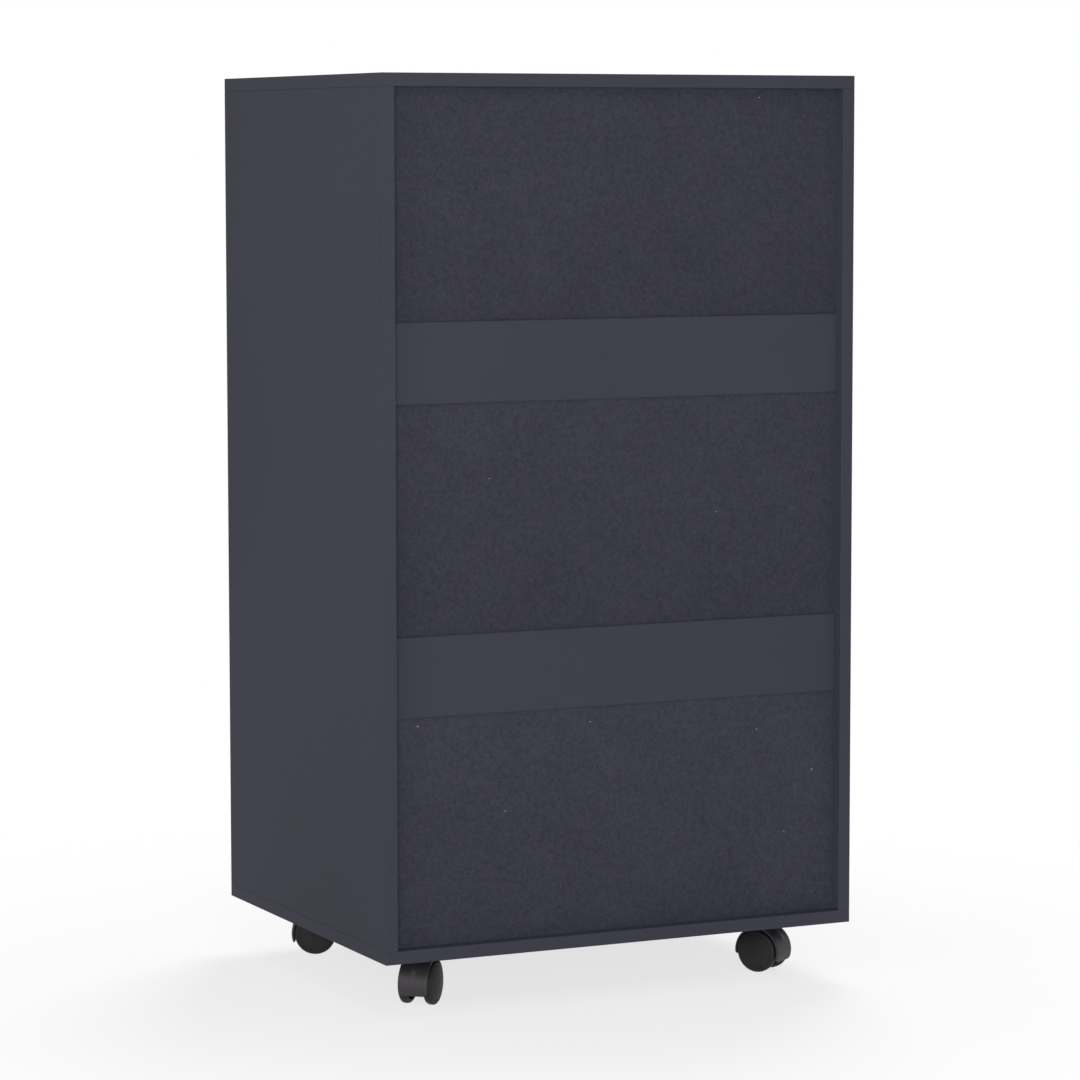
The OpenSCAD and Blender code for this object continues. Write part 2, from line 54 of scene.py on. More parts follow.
studio = dict(
    cameraPlace=(2.080, 4.382, 0.984),
    yaw=25.553, pitch=5.573, roll=-0.057,  # which way the camera looks, in degrees
    lens=134.93, sensor=36.0,
    worldStrength=0.14,
    floorColour="#e9e9ea",
    floorSize=14.0,
    floorGrain=16.7 * mm, floorRelief=0.02, floorRoughness=0.9, floorSpecular=0.1,
    shadowShare=0.26,  # how much of the floor's own shading the camera sees beside the object
    clearFrom=0.35, clearTo=1.15,  # the rest fades to plain white between these distances, in metres
)

softboxes = [
    # name, place, where it points, width, height, watts
    ("keySoftbox", (2.1, 4.6, 1.0), (0.0, 0.1, 0.5), 2.4, 1.7, 140.0),
    ("sideSoftbox", (4.1, 1.2, 1.5), (0.2, 0.1, 0.5), 2.6, 2.2, 59.0),
    ("highSoftbox", (1.2, 3.4, 3.4), (0.0, 0.1, 0.5), 2.4, 1.7, 25.0),
    ("fillSoftbox", (-2.2, -2.8, 3.0), (0.0, -0.1, 0.5), 2.2, 2.0, 200.0),
    ("topSoftbox", (0.0, 0.0, 3.4), (0.0, 0.0, 1.0), 2.2, 2.2, 16.0),
]


def toLinear(hexColour):
    channels = [int(hexColour[i:i + 2], 16) / 255 for i in (1, 3, 5)]
    return tuple(c / 12.92 if c <= 0.04045 else ((c + 0.055) / 1.055) ** 2.4 for c in channels) + (1.0,)


def addNode(tree, kind, inputs=None, **settings):
    # inputs maps a socket's name or number to a value, or to the socket that feeds it
    node = tree.nodes.new("ShaderNode" + kind)
    for name, value in settings.items():
        setattr(node, name, value)
    setInputs(tree, node, inputs or {})
    return node


def setInputs(tree, node, inputs):
    for key, value in inputs.items():
        if isinstance(value, bpy.types.NodeSocket):
            tree.links.new(value, node.inputs[key])
        else:
            node.inputs[key].default_value = value


def addCamera():
    data = bpy.data.cameras.new("camera")
    data.lens = studio["lens"]
    data.sensor_width = studio["sensor"]
    camera = bpy.data.objects.new("camera", data)
    bpy.context.collection.objects.link(camera)
    turn = Matrix.Rotation(math.radians(180 - studio["yaw"]), 4, "Z")
    tip = Matrix.Rotation(math.radians(90 - studio["pitch"]), 4, "X")
    roll = Matrix.Rotation(math.radians(studio["roll"]), 4, "Z")
    camera.matrix_world = Matrix.Translation(studio["cameraPlace"]) @ turn @ tip @ roll
    bpy.context.scene.camera = camera


def addWorld():
    # dim light on the object, plain white to the camera and in reflections
    world = bpy.data.worlds.new("studioWorld")
    world.use_nodes = True
    tree = world.node_tree
    tree.nodes.clear()
    path = addNode(tree, "LightPath").outputs
    seen = addNode(tree, "Math", {0: path["Is Camera Ray"], 1: path["Is Glossy Ray"]}, operation="MAXIMUM")
    seen = addNode(tree, "Math", {0: seen.outputs[0], 1: path["Is Transmission Ray"]}, operation="MAXIMUM")
    light = addNode(tree, "Background", {"Color": (1, 1, 1, 1), "Strength": studio["worldStrength"]})
    backdrop = addNode(tree, "Background", {"Color": (1, 1, 1, 1), "Strength": 1.0})
    mix = addNode(tree, "MixShader", {0: seen.outputs[0], 1: light.outputs[0], 2: backdrop.outputs[0]})
    addNode(tree, "OutputWorld", {"Surface": mix.outputs[0]})
    bpy.context.scene.world = world


def addSoftboxes():
    for name, place, target, width, height, watts in softboxes:
        data = bpy.data.lights.new(name, "AREA")
        data.shape = "RECTANGLE"
        data.size, data.size_y = width, height
        data.energy = watts
        lamp = bpy.data.objects.new(name, data)
        bpy.context.collection.objects.link(lamp)
        aim = (Vector(target) - Vector(place)).to_track_quat("-Z", "Y").to_matrix().to_4x4()
        lamp.matrix_world = Matrix.Translation(place) @ aim


def floorMaterial():
    # Painted studio floor: plain pale matt, with the object's soft shadow, white further out
    material = bpy.data.materials.new("studioFloor")
    material.use_nodes = True
    tree = material.node_tree
    tree.nodes.clear()
    place = addNode(tree, "TexCoord").outputs["Object"]
    path = addNode(tree, "LightPath").outputs
    reach = addNode(tree, "VectorMath", {0: place}, operation="LENGTH")
    fade = addNode(tree, "MapRange", {"Value": reach.outputs["Value"], "From Min": studio["clearFrom"],
                                      "From Max": studio["clearTo"]}, interpolation_type="SMOOTHSTEP")
    share = addNode(tree, "Math", {0: fade.outputs["Result"], 1: studio["shadowShare"],
                                   2: 1 - studio["shadowShare"]}, operation="MULTIPLY_ADD")
    toCamera = addNode(tree, "Math", {0: share.outputs[0], 1: path["Is Camera Ray"]}, operation="MULTIPLY")
    mirrored = addNode(tree, "Math", {0: path["Is Glossy Ray"], 1: path["Is Transmission Ray"]},
                       operation="MAXIMUM")
    clear = addNode(tree, "Math", {0: toCamera.outputs[0], 1: mirrored.outputs[0]}, operation="MAXIMUM")
    grain = addNode(tree, "TexNoise", {"Vector": place, "Scale": 1 / studio["floorGrain"], "Detail": 3.0})
    bump = addNode(tree, "Bump", {"Height": grain.outputs[0], "Strength": studio["floorRelief"]})
    paint = addNode(tree, "BsdfPrincipled", {"Base Color": toLinear(studio["floorColour"]),
                                             "Roughness": studio["floorRoughness"],
                                             "Specular IOR Level": studio["floorSpecular"],
                                             "Normal": bump.outputs[0]})
    white = addNode(tree, "Emission", {"Color": (1, 1, 1, 1), "Strength": 1.0})
    mix = addNode(tree, "MixShader", {0: clear.outputs[0], 1: paint.outputs[0], 2: white.outputs[0]})
    addNode(tree, "OutputMaterial", {"Surface": mix.outputs[0]})
    return material


def addFloor():
    bm = bmesh.new()
    bmesh.ops.create_circle(bm, cap_ends=True, segments=96, radius=studio["floorSize"])
    mesh = bpy.data.meshes.new("studioFloor")
    bm.to_mesh(mesh)
    bm.free()
    floor = bpy.data.objects.new("studioFloor", mesh)
    bpy.context.collection.objects.link(floor)
    mesh.materials.append(floorMaterial())


def newMaterial(name):
    material = bpy.data.materials.new(name)
    material.use_nodes = True
    tree = material.node_tree
    tree.nodes.clear()
    shader = addNode(tree, "BsdfPrincipled")
    addNode(tree, "OutputMaterial", {"Surface": shader.outputs[0]})
    return material, tree, shader, addNode(tree, "TexCoord").outputs


noiseLow, noiseHigh = 0.3, 0.7  # most of a noise texture's values lie between these

laminate = dict(
    colour="#3e3e48", edgingColour="#3e3e48",
    shadeRange=0.03, drift=384.6 * mm,  # how much, and over what distance, the print's tone wanders
    grain=1.6 * mm,  # pearl grain; the real one is finer and wouldn't show
    edging=1.0 * mm,  # thickness of the ABS edging
    faceTilt=0.7,  # a normal that leans further than this along the board's thickness is on its face
    hairline=0.35 * mm, hairlineShade=0.10,  # the line where the edging meets the face
    roughness=0.6, roughnessRange=0.05, edgingRoughness=0.57,
    specular=0.02,
    relief=0.10, depth=0.1 * mm,
)


def laminateMaterial(node, thicknessAxis):
    # Melamine-faced chipboard with a fine pearl grain: flat and dull, its ABS edging a little smoother,
    # with the hairline where the edging meets the face
    lam = laminate
    material, tree, shader, place = newMaterial("laminate_" + node)
    spot = place["Object"]
    low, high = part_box(node)
    middle, half = (low + high) / 2, (high - low) / 2
    # how far a point lies inside the board's outline, along each axis
    centred = addNode(tree, "VectorMath", {0: spot, 1: tuple(middle)}, operation="SUBTRACT")
    away = addNode(tree, "VectorMath", {0: centred.outputs[0]}, operation="ABSOLUTE")
    inward = addNode(tree, "VectorMath", {0: tuple(half), 1: away.outputs[0]}, operation="SUBTRACT")
    split = addNode(tree, "SeparateXYZ", {0: inward.outputs[0]}).outputs
    a, b = [i for i in range(3) if i != thicknessAxis]
    toEdge = addNode(tree, "Math", {0: split[a], 1: split[b]}, operation="MINIMUM")
    hairline = addNode(tree, "Math", {0: toEdge.outputs[0], 1: lam["edging"], 2: lam["hairline"]},
                       operation="COMPARE")
    normal = addNode(tree, "SeparateXYZ", {0: place["Normal"]})
    flat = addNode(tree, "Math", {0: normal.outputs[thicknessAxis]}, operation="ABSOLUTE")
    onFace = addNode(tree, "Math", {0: flat.outputs[0], 1: lam["faceTilt"]},
                     operation="GREATER_THAN").outputs[0]
    drift = addNode(tree, "TexNoise", {"Vector": spot, "Scale": 1 / lam["drift"], "Detail": 2.0,
                                       "Roughness": 0.4})
    shade = addNode(tree, "MapRange", {"Value": drift.outputs[0], "From Min": noiseLow, "From Max": noiseHigh,
                                       "To Min": 1 - lam["shadeRange"], "To Max": 1 + lam["shadeRange"]})
    line = addNode(tree, "Math", {0: hairline.outputs[0], 1: onFace}, operation="MULTIPLY")
    shade = addNode(tree, "Math", {0: line.outputs[0], 1: -lam["hairlineShade"], 2: shade.outputs[0]},
                    operation="MULTIPLY_ADD")
    colour = addNode(tree, "Mix", {0: onFace, 6: toLinear(lam["edgingColour"]), 7: toLinear(lam["colour"])},
                     data_type="RGBA")
    shaded = addNode(tree, "VectorMath", {0: colour.outputs[2], "Scale": shade.outputs[0]}, operation="SCALE")
    grain = addNode(tree, "TexNoise", {"Vector": spot, "Scale": 1 / lam["grain"], "Detail": 2.0,
                                       "Roughness": 0.6})
    sheen = addNode(tree, "MapRange", {"Value": grain.outputs[0], "From Min": noiseLow, "From Max": noiseHigh,
                                       "To Min": lam["roughness"] - lam["roughnessRange"],
                                       "To Max": lam["roughness"] + lam["roughnessRange"]})
    rough = addNode(tree, "Mix", {0: onFace, 2: lam["edgingRoughness"], 3: sheen.outputs[0]},
                    data_type="FLOAT")
    bump = addNode(tree, "Bump", {"Height": grain.outputs[0], "Strength": lam["relief"],
                                  "Distance": lam["depth"]})
    setInputs(tree, shader, {"Base Color": shaded.outputs[0], "Roughness": rough.outputs[0],
                             "Specular IOR Level": lam["specular"], "Normal": bump.outputs[0]})
    return material


hardboard = dict(
    dark="#31313b", light="#3f3f49", fleck="#8a8a98",
    mottle=5.5 * mm, fibre=2.5 * mm, cloud=71.43 * mm,  # blotches, tufts of fibre and slow clouds
    mottleShare=0.9, cloudShare=0.24,
    toneFrom=0.795, toneTo=1.345,  # the summed patterns run from dark to light between these
    fleckSpacing=18.18 * mm, fleckSize=0.636 * mm, fleckBlur=1.091 * mm,
    # share of the places without a fleck: low on a back panel, at its top, and on a drawer's bottom
    fleckless=0.97, flecklessTop=0.84, flecklessBottom=0.9,
    paintedTopLight=0.055,  # painted light: how much lighter a back panel is painted along its upper edge, and darker along its lower one
    panelTone={"lower": 1.06, "middle": 0.985, "upper": 0.98},  # each back panel's colour is scaled by its own factor: the lower one lighter, the upper two a little darker
    roughness=0.85, specular=0.03,
    relief=0.35, depth=0.25 * mm,
)


def hardboardMaterial(name, lowZ=None, highZ=None, panelFactor=1.0):
    # Thin hardboard, the painted screen-pressed side out: a dull mottled felt of fibres, a few pale flecks
    hard = hardboard
    material, tree, shader, place = newMaterial(name)
    spot = place["Object"]
    mottle = addNode(tree, "TexNoise", {"Vector": spot, "Scale": 1 / hard["mottle"], "Detail": 3.0,
                                        "Roughness": 0.65})
    fibre = addNode(tree, "TexNoise", {"Vector": spot, "Scale": 1 / hard["fibre"], "Detail": 2.0,
                                       "Roughness": 0.7, "Distortion": 0.8})
    cloud = addNode(tree, "TexNoise", {"Vector": spot, "Scale": 1 / hard["cloud"], "Detail": 2.0})
    tone = addNode(tree, "Math", {0: mottle.outputs[0], 1: hard["mottleShare"], 2: fibre.outputs[0]},
                   operation="MULTIPLY_ADD")
    tone = addNode(tree, "Math", {0: cloud.outputs[0], 1: hard["cloudShare"], 2: tone.outputs[0]},
                   operation="MULTIPLY_ADD")
    spread = addNode(tree, "MapRange", {"Value": tone.outputs[0], "From Min": hard["toneFrom"],
                                        "From Max": hard["toneTo"]})
    felt = addNode(tree, "Mix", {0: spread.outputs[0], 6: toLinear(hard["dark"]),
                                 7: toLinear(hard["light"])}, data_type="RGBA")
    flecks = addNode(tree, "TexVoronoi", {"Vector": spot, "Scale": 1 / hard["fleckSpacing"]}).outputs
    core = addNode(tree, "MapRange", {"Value": flecks["Distance"], "To Min": 1.0, "To Max": 0.0,
                                      "From Min": hard["fleckSize"] / hard["fleckSpacing"],
                                      "From Max": hard["fleckBlur"] / hard["fleckSpacing"]})
    height = addNode(tree, "SeparateXYZ", {0: spot}).outputs[2]
    chance = hard["flecklessBottom"]
    if highZ is not None:
        chance = addNode(tree, "MapRange", {"Value": height, "From Min": lowZ, "From Max": highZ,
                                            "To Min": hard["fleckless"],
                                            "To Max": hard["flecklessTop"]}).outputs[0]
    pick = addNode(tree, "SeparateXYZ", {0: flecks["Color"]})
    few = addNode(tree, "Math", {0: pick.outputs[0], 1: chance}, operation="GREATER_THAN")
    fleck = addNode(tree, "Math", {0: core.outputs[0], 1: few.outputs[0]}, operation="MULTIPLY")
    colour = addNode(tree, "Mix", {0: fleck.outputs[0], 6: felt.outputs[2], 7: toLinear(hard["fleck"])},
                     data_type="RGBA").outputs[2]
    if highZ is not None:
        # painted light: the panel's colour is painted lighter towards its top and darker towards its bottom
        gain = addNode(tree, "MapRange", {"Value": height, "From Min": lowZ, "From Max": highZ,
                                          "To Min": panelFactor * (1 - hard["paintedTopLight"]),
                                          "To Max": panelFactor * (1 + hard["paintedTopLight"])})
        colour = addNode(tree, "VectorMath", {0: colour, "Scale": gain.outputs[0]},
                         operation="SCALE").outputs[0]
    bump = addNode(tree, "Bump", {"Height": tone.outputs[0], "Strength": hard["relief"],
                                  "Distance": hard["depth"]})
    setInputs(tree, shader, {"Base Color": colour, "Roughness": hard["roughness"],
                             "Specular IOR Level": hard["specular"], "Normal": bump.outputs[0]})
    return material


beech = dict(dark="#b8935f", light="#dcc096", grainWidth=1.11 * mm, grainLength=8.33 * mm, roughness=0.65,
             relief=0.2, depth=0.1 * mm)


def beechMaterial():
    # Turned beech dowel: pale, with close grain and short flecks
    material, tree, shader, place = newMaterial("beech")
    width, length = 1 / beech["grainWidth"], 1 / beech["grainLength"]
    stretch = addNode(tree, "Mapping", {"Vector": place["Object"], "Scale": (width, width, length)})
    grain = addNode(tree, "TexNoise", {"Vector": stretch.outputs[0], "Scale": 1.0, "Detail": 4.0}).outputs[0]
    colour = addNode(tree, "Mix", {0: grain, 6: toLinear(beech["dark"]), 7: toLinear(beech["light"])},
                     data_type="RGBA")
    bump = addNode(tree, "Bump", {"Height": grain, "Strength": beech["relief"], "Distance": beech["depth"]})
    setInputs(tree, shader, {"Base Color": colour.outputs[2], "Roughness": beech["roughness"],
                             "Normal": bump.outputs[0]})
    return material


zinc = dict(dark="#85878d", light="#b4b4b0", cloud=2.857 * mm, roughFrom=0.25, roughTo=0.5,
            relief=0.08, depth=0.05 * mm)


def zincMaterial():
    # Zinc-plated steel: bright bluish metal, cloudy where the plating took unevenly
    material, tree, shader, place = newMaterial("zincPlatedSteel")
    cloud = addNode(tree, "TexNoise", {"Vector": place["Object"], "Scale": 1 / zinc["cloud"],
                                       "Detail": 3.0}).outputs[0]
    colour = addNode(tree, "Mix", {0: cloud, 6: toLinear(zinc["dark"]), 7: toLinear(zinc["light"])},
                     data_type="RGBA")
    rough = addNode(tree, "MapRange", {"Value": cloud, "To Min": zinc["roughFrom"],
                                       "To Max": zinc["roughTo"]})
    bump = addNode(tree, "Bump", {"Height": cloud, "Strength": zinc["relief"], "Distance": zinc["depth"]})
    setInputs(tree, shader, {"Base Color": colour.outputs[2], "Metallic": 1.0, "Roughness": rough.outputs[0],
                             "Normal": bump.outputs[0]})
    return material


brushed = dict(
    dark="#7b7b7d", light="#a9a8a6",
    streakLength=28.57 * mm, streakWidth=0.5556 * mm,  # wider than real brushing, so that it shows
    roughFrom=0.26, roughTo=0.42,
    relief=0.15, depth=0.03 * mm,
)


def brushedSteelMaterial():
    # Satin stainless bar, brushed along its length: fine streaks that stretch the highlights
    material, tree, shader, place = newMaterial("brushedStainlessSteel")
    length, width = 1 / brushed["streakLength"], 1 / brushed["streakWidth"]
    along = addNode(tree, "Mapping", {"Vector": place["Object"], "Scale": (length, width, width)})
    streaks = addNode(tree, "TexNoise", {"Vector": along.outputs[0], "Scale": 1.0, "Detail": 3.0,
                                         "Roughness": 0.6}).outputs[0]
    rough = addNode(tree, "MapRange", {"Value": streaks, "From Min": noiseLow, "From Max": noiseHigh,
                                       "To Min": brushed["roughFrom"], "To Max": brushed["roughTo"]})
    colour = addNode(tree, "Mix", {0: streaks, 6: toLinear(brushed["dark"]), 7: toLinear(brushed["light"])},
                     data_type="RGBA")
    bump = addNode(tree, "Bump", {"Height": streaks, "Strength": brushed["relief"],
                                  "Distance": brushed["depth"]})
    setInputs(tree, shader, {"Base Color": colour.outputs[2], "Metallic": 1.0, "Roughness": rough.outputs[0],
                             "Normal": bump.outputs[0]})
    return material


coated = dict(dark="#bdbcb6", light="#d3d3ce", peel=2.083 * mm, dirt=28.57 * mm, roughness=0.38,
              relief=0.12, depth=0.1 * mm)


def coatedSteelMaterial():
    # Epoxy powder coat on rolled steel: smooth off-white with slight orange peel
    material, tree, shader, place = newMaterial("epoxyCoatedSteel")
    peel = addNode(tree, "TexNoise", {"Vector": place["Object"], "Scale": 1 / coated["peel"], "Detail": 1.0})
    dirt = addNode(tree, "TexNoise", {"Vector": place["Object"], "Scale": 1 / coated["dirt"], "Detail": 4.0})
    colour = addNode(tree, "Mix", {0: dirt.outputs[0], 6: toLinear(coated["dark"]),
                                   7: toLinear(coated["light"])}, data_type="RGBA")
    bump = addNode(tree, "Bump", {"Height": peel.outputs[0], "Strength": coated["relief"],
                                  "Distance": coated["depth"]})
    setInputs(tree, shader, {"Base Color": colour.outputs[2], "Roughness": coated["roughness"],
                             "Normal": bump.outputs[0]})
    return material


nylon = dict(dark="#cfcdc4", light="#e6e4dc", cloud=4.545 * mm, roughness=0.45, glow=0.08, glowDepth=2 * mm,
             relief=0.1, depth=0.05 * mm)


def nylonMaterial():
    # Moulded natural nylon: milky, faintly waxy, a little grey where it has run
    material, tree, shader, place = newMaterial("nylon")
    cloud = addNode(tree, "TexNoise", {"Vector": place["Object"], "Scale": 1 / nylon["cloud"],
                                       "Detail": 3.0}).outputs[0]
    colour = addNode(tree, "Mix", {0: cloud, 6: toLinear(nylon["dark"]), 7: toLinear(nylon["light"])},
                     data_type="RGBA")
    bump = addNode(tree, "Bump", {"Height": cloud, "Strength": nylon["relief"], "Distance": nylon["depth"]})
    setInputs(tree, shader, {"Base Color": colour.outputs[2], "Roughness": nylon["roughness"],
                             "Subsurface Weight": nylon["glow"],
                             "Subsurface Radius": (nylon["glowDepth"],) * 3, "Normal": bump.outputs[0]})
    return material


casterPlastic = dict(
    hood=dict(colour="#2a262b", roughness=0.5, specular=0.33, dust=0.25),
    wheel=dict(colour="#131313", roughness=0.58, specular=0.22, dust=0.5),
    dust="#3c3c3e", dustTop=30 * mm, dustAbove=0.25,  # the share of dust left from that height up
    dustSmear=11.11 * mm, dustFrom=0.45, dustTo=0.75, dustRough=0.5,
    spark=1.3 * mm,  # size of the moulded surface's fine texture, coarser than real so that it shows
    relief=0.08, depth=0.05 * mm,
)


def casterMaterial(name, look):
    # Moulded black nylon: semi-gloss, fine spark texture, floor dust rubbed into the low parts
    material, tree, shader, place = newMaterial(name)
    spot = place["Object"]
    moulded = casterPlastic
    spark = addNode(tree, "TexNoise", {"Vector": spot, "Scale": 1 / moulded["spark"], "Detail": 2.0})
    smear = addNode(tree, "TexNoise", {"Vector": spot, "Scale": 1 / moulded["dustSmear"], "Detail": 4.0,
                                       "Roughness": 0.65})
    height = addNode(tree, "SeparateXYZ", {0: spot}).outputs[2]
    low = addNode(tree, "MapRange", {"Value": height, "From Max": moulded["dustTop"], "To Min": 1.0,
                                     "To Max": moulded["dustAbove"]})
    patchy = addNode(tree, "MapRange", {"Value": smear.outputs[0], "From Min": moulded["dustFrom"],
                                        "From Max": moulded["dustTo"], "To Max": look["dust"]})
    dust = addNode(tree, "Math", {0: low.outputs[0], 1: patchy.outputs[0]}, operation="MULTIPLY").outputs[0]
    rough = addNode(tree, "Math", {0: dust, 1: moulded["dustRough"], 2: look["roughness"]},
                    operation="MULTIPLY_ADD")
    colour = addNode(tree, "Mix", {0: dust, 6: toLinear(look["colour"]), 7: toLinear(moulded["dust"])},
                     data_type="RGBA")
    bump = addNode(tree, "Bump", {"Height": spark.outputs[0], "Strength": moulded["relief"],
                                  "Distance": moulded["depth"]})
    setInputs(tree, shader, {"Base Color": colour.outputs[2], "Roughness": rough.outputs[0],
                             "Specular IOR Level": look["specular"], "Normal": bump.outputs[0]})
    return material


mergeDistance = 0.002 * mm
sharpAngle = 32  # in degrees; gentler folds are shaded smooth
flatAngle = 0.5  # in degrees; faces that meet at less are one flat face


def makePiece(bm, name, body, material, node, smooth=True):
    bmesh.ops.remove_doubles(bm, verts=bm.verts, dist=mergeDistance)
    bmesh.ops.recalc_face_normals(bm, faces=bm.faces)
    mesh = bpy.data.meshes.new(name)
    bm.to_mesh(mesh)
    bm.free()
    for face in mesh.polygons:
        face.use_smooth = smooth
    if smooth:
        mesh.set_sharp_from_angle(angle=math.radians(sharpAngle))
    mesh.materials.append(material)
    piece = bpy.data.objects.new(name, mesh)
    bpy.context.collection.objects.link(piece)
    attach(piece, body)
    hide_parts(node)


def edgesAmong(bm, verts):
    chosen = set(verts)
    return [e for e in bm.edges if e.verts[0] in chosen and e.verts[1] in chosen]


boardEdge = dict(radius=0.5 * mm, steps=3, near=0.01 * mm)  # near: a point this close to a side is on it


def makeBoard(name, body, material):
    # A merged copy of the CAD board, bores and all, with its outer edges rounded over as edging is
    bm = bmesh.new()
    bm.from_mesh(frame["nodes"][name].data)
    bmesh.ops.remove_doubles(bm, verts=bm.verts, dist=mergeDistance)
    bmesh.ops.dissolve_limit(bm, angle_limit=math.radians(flatAngle), verts=bm.verts, edges=bm.edges)
    low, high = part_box(name)
    sides = [(i, side[i]) for side in (low, high) for i in range(3)]

    def sidesShared(edge):
        return sum(all(abs(v.co[i] - place) < boardEdge["near"] for v in edge.verts) for i, place in sides)

    outer = [e for e in bm.edges if sidesShared(e) == 2]
    bmesh.ops.bevel(bm, geom=outer, offset=boardEdge["radius"], offset_type="OFFSET",
                    segments=boardEdge["steps"], profile=0.5, affect="EDGES", clamp_overlap=True, material=-1)
    makePiece(bm, "edged_" + name, body, material, name, smooth=False)


metalEdge = dict(
    plate=0.3 * mm, runner=0.25 * mm, steps=2,
    foldAngle=50,  # in degrees; only sharper folds are rounded
)


def dressNode(name, material, edge=0.0):
    # A CAD node keeps its shape and gets its finish; sheet metal also gets its edges taken off
    node = frame["nodes"][name]
    node.material_slots[0].material = material
    if edge:
        weld = node.modifiers.new("weld", "WELD")
        weld.merge_threshold = mergeDistance
        plane = node.modifiers.new("flatFaces", "DECIMATE")
        plane.decimate_type = "DISSOLVE"
        plane.angle_limit = math.radians(flatAngle)
        bevel = node.modifiers.new("edges", "BEVEL")
        bevel.width = edge
        bevel.segments = metalEdge["steps"]
        bevel.limit_method = "ANGLE"
        bevel.angle_limit = math.radians(metalEdge["foldAngle"])


def dressBoards():
    # each board with the axis across its thickness
    carcass = {"top_panel": 2, "bottom_panel": 2, "left_side_panel": 0, "right_side_panel": 0,
               "lower_back_rail": 1, "upper_back_rail": 1}
    drawerBoards = {"front": 1, "back": 1, "left_side": 0, "right_side": 0}
    for name, thicknessAxis in carcass.items():
        makeBoard(name, "cabinet", laminateMaterial(name, thicknessAxis))
    for level in levels:
        for part, thicknessAxis in drawerBoards.items():
            name = level + "_drawer_" + part
            makeBoard(name, level + "_drawer", laminateMaterial(name, thicknessAxis))
    drawerBottom = hardboardMaterial("hardboardDrawerBottom")
    for level in levels:
        low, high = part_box(level + "_back_panel")
        panelFactor = hardboard["panelTone"][level]
        dressNode(level + "_back_panel", hardboardMaterial("hardboard_" + level, low.z, high.z, panelFactor))
        dressNode(level + "_drawer_bottom", drawerBottom)
    print("boards dressed")


def dressMetal():
    plated, steel, white = zincMaterial(), coatedSteelMaterial(), nylonMaterial()
    for name in ("cam_fittings", "cabinet_screws"):
        dressNode(name, plated)
    dressNode("caster_plates", plated, metalEdge["plate"])
    dressNode("dowels", beechMaterial())
    dressNode("cabinet_runners", steel, metalEdge["runner"])
    for level in levels:
        dressNode(level + "_drawer_fittings", plated)
        dressNode(level + "_drawer_runners", steel, metalEdge["runner"])
        dressNode(level + "_cabinet_rollers", white)
        dressNode(level + "_drawer_rollers", white)
    for corner in corners:
        dressNode(corner + "_caster_axle", plated)
    print("metal and rollers dressed")


handle = dict(
    bend=10 * mm,  # radius of the bends, to the middle of the bar
    footRound=0.6 * mm, footTurn=0.3,  # the share of the foot's round-over where it is half way round
    sides=40, bendSteps=14,
)


def makeHandle(level, material):
    node = level + "_drawer_handle"
    low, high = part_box(node)
    bar = (high.z - low.z) / 2
    bend, foot = handle["bend"], handle["footRound"]
    soft = handle["footTurn"] * foot
    middle = (low + high) / 2
    half = (high.x - low.x) / 2 - bar
    leg = high.y - low.y - bar - bend
    bm = bmesh.new()
    # one foot of the bar, rounded over, then drawn out along the bar's path
    upright = Matrix.Rotation(math.radians(90), 4, "X")
    start = Matrix.Translation((middle.x + half, high.y, middle.z)) @ upright
    firstRing = bmesh.ops.create_circle(bm, segments=handle["sides"], radius=bar - foot,
                                        matrix=start)["verts"]

    def drawOut(ring, step, grow=1.0):
        made = bmesh.ops.extrude_edge_only(bm, edges=edgesAmong(bm, ring))["geom"]
        ring = [g for g in made if isinstance(g, bmesh.types.BMVert)]
        bmesh.ops.translate(bm, verts=ring, vec=step)
        centre = sum((v.co for v in ring), Vector()) / len(ring)
        bmesh.ops.scale(bm, verts=ring, vec=(grow, grow, grow), space=Matrix.Translation(-centre))
        return ring

    def drawRound(ring, centre):
        made = bmesh.ops.spin(bm, geom=list(ring) + edgesAmong(bm, ring), cent=centre, axis=(0, 0, -1),
                              dvec=(0, 0, 0), angle=math.radians(90), steps=handle["bendSteps"],
                              use_merge=False)["geom_last"]
        return [g for g in made if isinstance(g, bmesh.types.BMVert)]

    ring = drawOut(firstRing, (0, -soft, 0), (bar - soft) / (bar - foot))
    ring = drawOut(ring, (0, soft - foot, 0), bar / (bar - soft))
    ring = drawOut(ring, (0, foot - leg, 0))
    ring = drawRound(ring, (middle.x + half - bend, high.y - leg, middle.z))
    ring = drawOut(ring, (2 * bend - 2 * half, 0, 0))
    ring = drawRound(ring, (middle.x - half + bend, high.y - leg, middle.z))
    ring = drawOut(ring, (0, leg - foot, 0))
    ring = drawOut(ring, (0, foot - soft, 0), (bar - soft) / bar)
    ring = drawOut(ring, (0, soft, 0), (bar - foot) / (bar - soft))
    for end in (firstRing, ring):
        bmesh.ops.contextual_create(bm, geom=list(end) + edgesAmong(bm, end))
    makePiece(bm, level + "_bar_handle", level + "_drawer", material, node)


hood = dict(
    innerRadius=26.8 * mm, wall=2.4 * mm, halfWidth=17.5 * mm,
    back=23.0, front=12.0,  # how far the two lips reach below the axle, in degrees
    crown=0.3 * mm, lipRound=4.5 * mm, edgeRound=0.7 * mm,
    ridge=1.7 * mm, ridgeWidth=3.6 * mm,
    ridgeStart=(18, 45), ridgeEnd=(135, 160),  # the ridge fades in and out between these angles
    rib=6.0 * mm, ribLow=10.0 * mm,  # the rib's lower edge, below the axle
    axleBoss=7.0 * mm,
    socket=9.0 * mm, socketRound=0.4 * mm,  # the socket holds the kingpin
    neckFlare=3.0 * mm,
    # the neck's profile: the share of the flare, and the height over the shell's roof
    neck=((1.0, -1.2 * mm), (0.3, 0.8 * mm), (0.0, 2.6 * mm)),
    steps=108, ribSides=96, bossSides=48,
)


